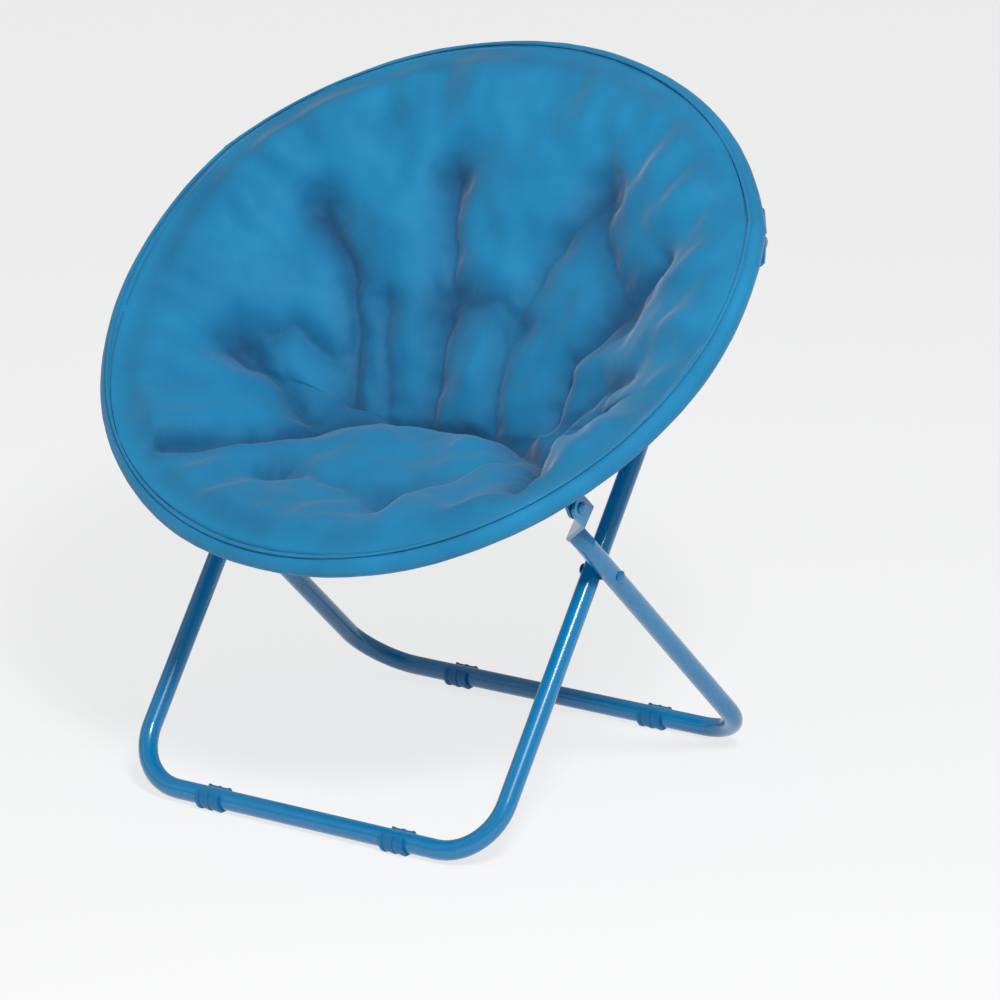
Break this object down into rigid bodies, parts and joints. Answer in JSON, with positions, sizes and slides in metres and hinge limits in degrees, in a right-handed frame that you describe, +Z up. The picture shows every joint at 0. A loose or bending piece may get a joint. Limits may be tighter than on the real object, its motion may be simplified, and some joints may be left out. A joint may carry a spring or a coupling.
{
  "type": "folding saucer chair",
  "caption": "Round folding lounge chair: padded cloth bowl in a tilted hinged hoop, carried on crossing U-shaped tube legs that fold flat with it",
  "frame": {"origin": "on the floor, under the middle of the chair's bounding box", "axes": "+Z up, the front of the seat faces -Y, +X to the sitter's left; the chair is symmetric about X = 0"},
  "size_m": [0.7798, 0.5978, 0.7789],
  "materials": {
    "leg_tube": "glossy powder coat, saturated blue",
    "hoop_tube": "glossy powder coat, saturated blue",
    "bracket_steel": "welded steel plate, powder coated blue",
    "rivet_steel": "domed steel rivet, coated blue",
    "washer_plastic": "dark moulded plastic",
    "clip_plastic": "ribbed moulded plastic, blue",
    "sleeve_fabric": "smooth woven polyester sleeve",
    "piping_fabric": "folded cloth piping",
    "pad_fabric": "padded woven polyester, tufted"
  },
  "bodies": {
    "rear_legs": {"rear_leg_frame": "leg_tube", "cross_rivet_left": "rivet_steel", "cross_rivet_right": "rivet_steel", "cross_spacer_left": "washer_plastic", "cross_spacer_right": "washer_plastic", "rear_clip_left": "clip_plastic", "rear_clip_right": "clip_plastic"},
    "front_legs": {"front_leg_frame": "leg_tube", "front_clip_left": "clip_plastic", "front_clip_right": "clip_plastic", "back_arm_rivet_left": "rivet_steel", "back_arm_rivet_right": "rivet_steel"},
    "rim_front": {"front_hoop": "hoop_tube", "hinge_fork_left": "bracket_steel", "hinge_fork_right": "bracket_steel", "hinge_pin_left": "rivet_steel", "hinge_pin_right": "rivet_steel", "front_ear_left": "bracket_steel", "front_ear_right": "bracket_steel", "front_ear_rivet_left": "rivet_steel", "front_ear_rivet_right": "rivet_steel", "front_ear_washer_left": "washer_plastic", "front_ear_washer_right": "washer_plastic", "front_rim_sleeve": "sleeve_fabric", "front_piping": "piping_fabric", "seat_pad": "pad_fabric"},
    "rim_back": {"back_hoop": "hoop_tube", "hinge_tongue_left": "bracket_steel", "hinge_tongue_right": "bracket_steel", "back_ear_left": "bracket_steel", "back_ear_right": "bracket_steel", "back_ear_rivet_left": "rivet_steel", "back_ear_rivet_right": "rivet_steel", "back_ear_washer_left": "washer_plastic", "back_ear_washer_right": "washer_plastic", "back_rim_sleeve": "sleeve_fabric", "back_piping": "piping_fabric", "back_pad": "pad_fabric"}
  },
  "joints": [
    {"name": "leg_fold", "type": "hinge", "parent": "rear_legs", "child": "front_legs", "pos_m": [0, -0.02525, 0.281], "axis": [1, 0, 0], "range_deg": [0, 72]},
    {"name": "rim_front_fold", "type": "hinge", "parent": "rear_legs", "child": "rim_front", "pos_m": [0, -0.14494, 0.39323], "axis": [1, 0, 0], "range_deg": [0, 91.61], "deforming": ["seat_pad"]},
    {"name": "rim_back_fold", "type": "hinge", "parent": "rim_front", "child": "rim_back", "pos_m": [0, 0.13985, 0.62458], "axis": [1, 0, 0], "range_deg": [-161.54, 0], "deforming": ["back_pad"]}
  ],
  "couplings": [
    {"joint": "rim_front_fold", "follows": "leg_fold", "ratio": 1.2723},
    {"joint": "rim_back_fold", "follows": "leg_fold", "ratio": -2.2434}
  ]
}
